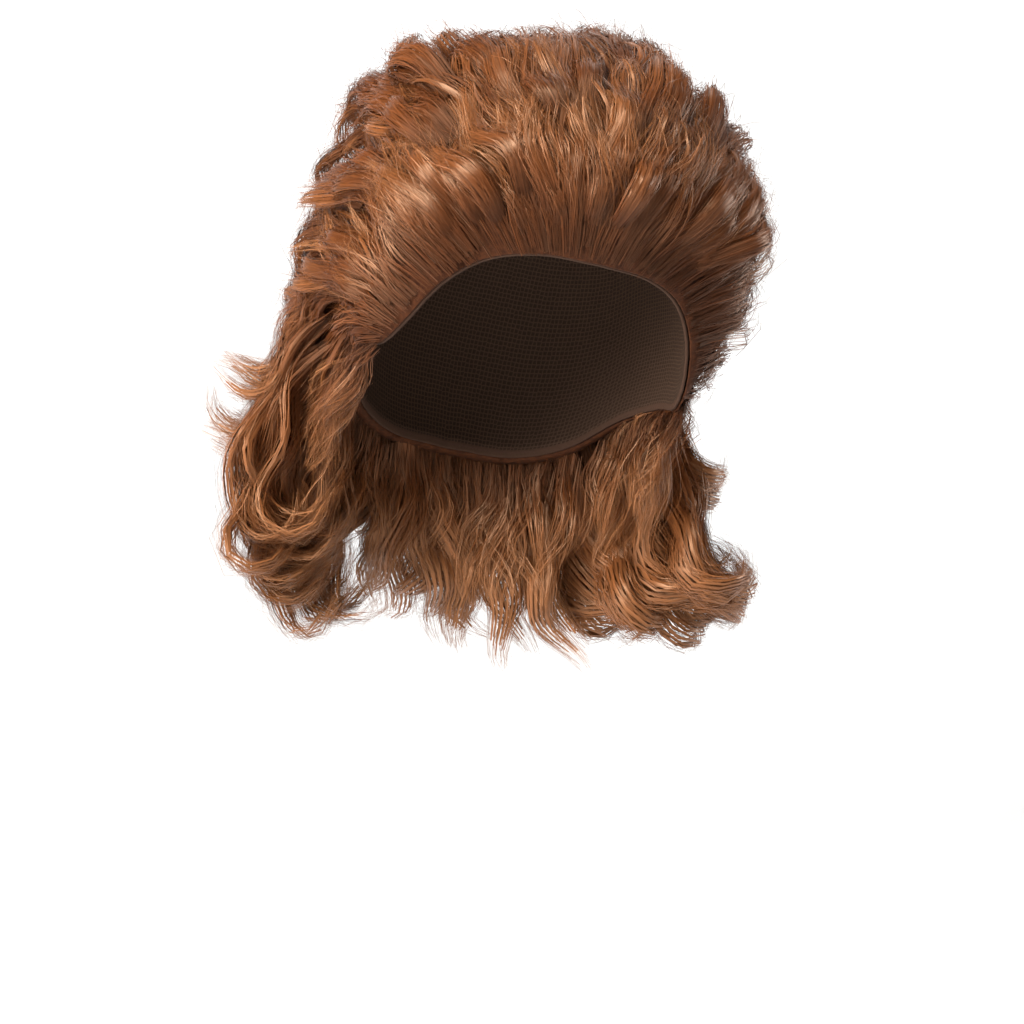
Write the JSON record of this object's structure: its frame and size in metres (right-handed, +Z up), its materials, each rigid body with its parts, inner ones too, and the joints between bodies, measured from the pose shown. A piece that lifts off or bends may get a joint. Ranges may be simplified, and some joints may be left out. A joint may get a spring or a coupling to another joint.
{
  "type": "mullet wig",
  "caption": "Mullet wig of brown synthetic hair on a fitted cap: teased and swept back on top, short at the sides, with long curled locks hanging at the nape.",
  "frame": {"origin": "middle of the wearer's head at its widest girth, where the cap sits", "axes": "+Z up through the crown, the wearer faces -Y, and the wearer's left is +X"},
  "size_m": [0.2767, 0.2789, 0.3209],
  "materials": {
    "cap_net": "fine stretch net with sewn rows, dark brown, matt",
    "hair": "synthetic hair, warm mid brown with darker roots and lighter tips, soft gloss"
  },
  "bodies": {
    "root": {"cap": "cap_net", "front_hair": "hair", "crown_hair": "hair", "side_hair_right": "hair", "side_hair_left": "hair", "back_hair": "hair", "nape_hair_right": "hair", "nape_hair_left": "hair", "nape_hair_back": "hair"}
  },
  "joints": []
}
